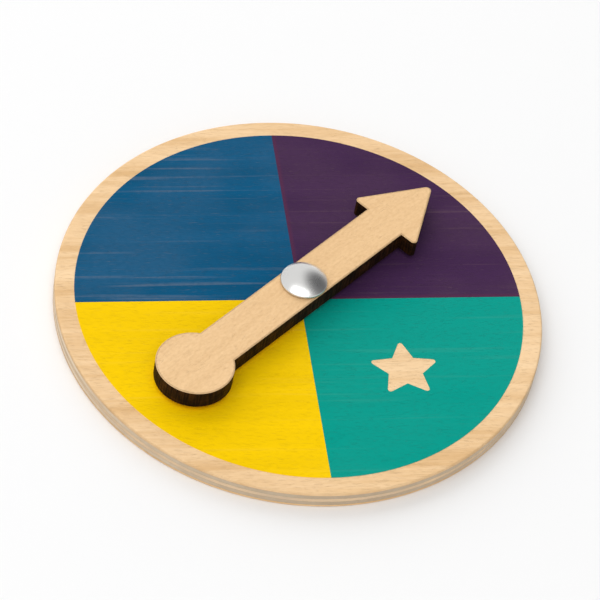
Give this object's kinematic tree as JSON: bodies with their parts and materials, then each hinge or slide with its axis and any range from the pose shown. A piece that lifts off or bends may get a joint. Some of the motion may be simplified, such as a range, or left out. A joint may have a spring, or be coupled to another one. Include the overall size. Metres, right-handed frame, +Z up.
{
  "type": "game spinner",
  "caption": "Round plywood game spinner with a printed face in four colours, and a wooden arrow that turns freely on a metal double-cap rivet over a loose washer.",
  "frame": {"origin": "middle of the board's underside, on the rivet's axis", "axes": "+Z up, square to the board and along the rivet; the lines between the printed quarters run along X and Y; the arrow at rest points between +X and +Y, 40.3 degrees from +X"},
  "size_m": [0.125, 0.125, 0.015],
  "materials": {
    "board_face_wood": "smooth sanded face veneer",
    "board_edge_wood": "sanded cross ply",
    "ink_blue": "matt printed ink that follows the grain",
    "ink_purple": "matt printed ink that follows the grain",
    "ink_yellow": "matt printed ink that follows the grain",
    "ink_teal": "matt printed ink that follows the grain",
    "arrow_wood": "smooth sanded veneer with laser-burnt edges",
    "washer_nylon": "natural nylon",
    "rivet_metal": "bright nickel plate"
  },
  "bodies": {
    "board": {"board_back_ply": "board_face_wood", "board_lower_cross_ply": "board_edge_wood", "board_centre_ply": "board_edge_wood", "board_upper_cross_ply": "board_edge_wood", "board_face_ply": "board_face_wood", "print_blue": "ink_blue", "print_purple": "ink_purple", "print_yellow": "ink_yellow", "print_teal": "ink_teal", "rivet_front_cap": "rivet_metal", "rivet_post": "rivet_metal", "rivet_sleeve": "rivet_metal", "rivet_back_cap": "rivet_metal"},
    "washer": {"washer": "washer_nylon"},
    "arrow": {"arrow_back_ply": "arrow_wood", "arrow_lower_cross_ply": "arrow_wood", "arrow_centre_ply": "arrow_wood", "arrow_upper_cross_ply": "arrow_wood", "arrow_face_ply": "arrow_wood"}
  },
  "joints": [
    {"name": "arrow_spin", "type": "hinge", "parent": "board", "child": "arrow", "pos_m": [0, 0, 0.0094], "axis": [0, 0, 1], "continuous": true},
    {"name": "washer_spin", "type": "hinge", "parent": "board", "child": "washer", "pos_m": [0, 0, 0.006], "axis": [0, 0, 1], "continuous": true}
  ]
}
